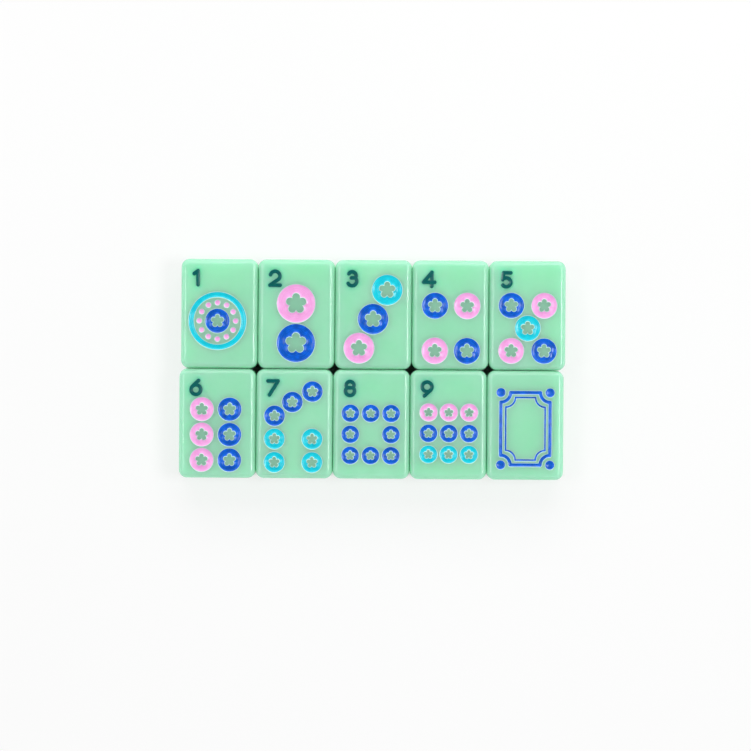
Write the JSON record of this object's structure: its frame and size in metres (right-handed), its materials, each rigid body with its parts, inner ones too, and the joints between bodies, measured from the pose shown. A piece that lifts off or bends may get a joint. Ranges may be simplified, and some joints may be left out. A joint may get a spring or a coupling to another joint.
{
  "type": "mahjong tile run",
  "caption": "Run of mahjong tiles in the dots suit with a framed blank tile, rounded translucent blocks with engraved, paint-filled faces, laid face up in rows.",
  "frame": {"origin": "middle of the block of tiles, on the plane of the tiles' backs", "axes": "+X along the rows to the right, +Y up the faces towards the numerals, +Z out of the faces"},
  "size_m": [0.1124, 0.0636, 0.014],
  "materials": {
    "mint_acrylic": "polished translucent",
    "teal_paint": "gloss paint",
    "blue_paint": "gloss paint",
    "pink_paint": "gloss paint",
    "turquoise_paint": "gloss paint"
  },
  "bodies": {
    "one_dot": {"one_dot_body": "mint_acrylic", "one_dot_numeral_fill": "teal_paint", "one_dot_blue_fill": "blue_paint", "one_dot_pink_fill": "pink_paint", "one_dot_turquoise_fill": "turquoise_paint"},
    "two_dot": {"two_dot_body": "mint_acrylic", "two_dot_numeral_fill": "teal_paint", "two_dot_blue_fill": "blue_paint", "two_dot_pink_fill": "pink_paint"},
    "three_dot": {"three_dot_body": "mint_acrylic", "three_dot_numeral_fill": "teal_paint", "three_dot_blue_fill": "blue_paint", "three_dot_pink_fill": "pink_paint", "three_dot_turquoise_fill": "turquoise_paint"},
    "four_dot": {"four_dot_body": "mint_acrylic", "four_dot_numeral_fill": "teal_paint", "four_dot_blue_fill": "blue_paint", "four_dot_pink_fill": "pink_paint"},
    "five_dot": {"five_dot_body": "mint_acrylic", "five_dot_numeral_fill": "teal_paint", "five_dot_blue_fill": "blue_paint", "five_dot_pink_fill": "pink_paint", "five_dot_turquoise_fill": "turquoise_paint"},
    "six_dot": {"six_dot_body": "mint_acrylic", "six_dot_numeral_fill": "teal_paint", "six_dot_blue_fill": "blue_paint", "six_dot_pink_fill": "pink_paint"},
    "seven_dot": {"seven_dot_body": "mint_acrylic", "seven_dot_numeral_fill": "teal_paint", "seven_dot_blue_fill": "blue_paint", "seven_dot_turquoise_fill": "turquoise_paint"},
    "eight_dot": {"eight_dot_body": "mint_acrylic", "eight_dot_numeral_fill": "teal_paint", "eight_dot_blue_fill": "blue_paint"},
    "nine_dot": {"nine_dot_body": "mint_acrylic", "nine_dot_numeral_fill": "teal_paint", "nine_dot_blue_fill": "blue_paint", "nine_dot_pink_fill": "pink_paint", "nine_dot_turquoise_fill": "turquoise_paint"},
    "soap": {"soap_body": "mint_acrylic", "soap_frame_fill": "blue_paint"}
  },
  "joints": [
    {"name": "one_dot_lift", "type": "slide", "parent": "three_dot", "child": "one_dot", "axis": [0, 0, 1], "range_m": [0, 0.03]},
    {"name": "two_dot_lift", "type": "slide", "parent": "three_dot", "child": "two_dot", "axis": [0, 0, 1], "range_m": [0, 0.03]},
    {"name": "four_dot_lift", "type": "slide", "parent": "three_dot", "child": "four_dot", "axis": [0, 0, 1], "range_m": [0, 0.03]},
    {"name": "five_dot_lift", "type": "slide", "parent": "three_dot", "child": "five_dot", "axis": [0, 0, 1], "range_m": [0, 0.03]},
    {"name": "six_dot_lift", "type": "slide", "parent": "three_dot", "child": "six_dot", "axis": [0, 0, 1], "range_m": [0, 0.03]},
    {"name": "seven_dot_lift", "type": "slide", "parent": "three_dot", "child": "seven_dot", "axis": [0, 0, 1], "range_m": [0, 0.03]},
    {"name": "eight_dot_lift", "type": "slide", "parent": "three_dot", "child": "eight_dot", "axis": [0, 0, 1], "range_m": [0, 0.03]},
    {"name": "nine_dot_lift", "type": "slide", "parent": "three_dot", "child": "nine_dot", "axis": [0, 0, 1], "range_m": [0, 0.03]},
    {"name": "soap_lift", "type": "slide", "parent": "three_dot", "child": "soap", "axis": [0, 0, 1], "range_m": [0, 0.03]}
  ]
}
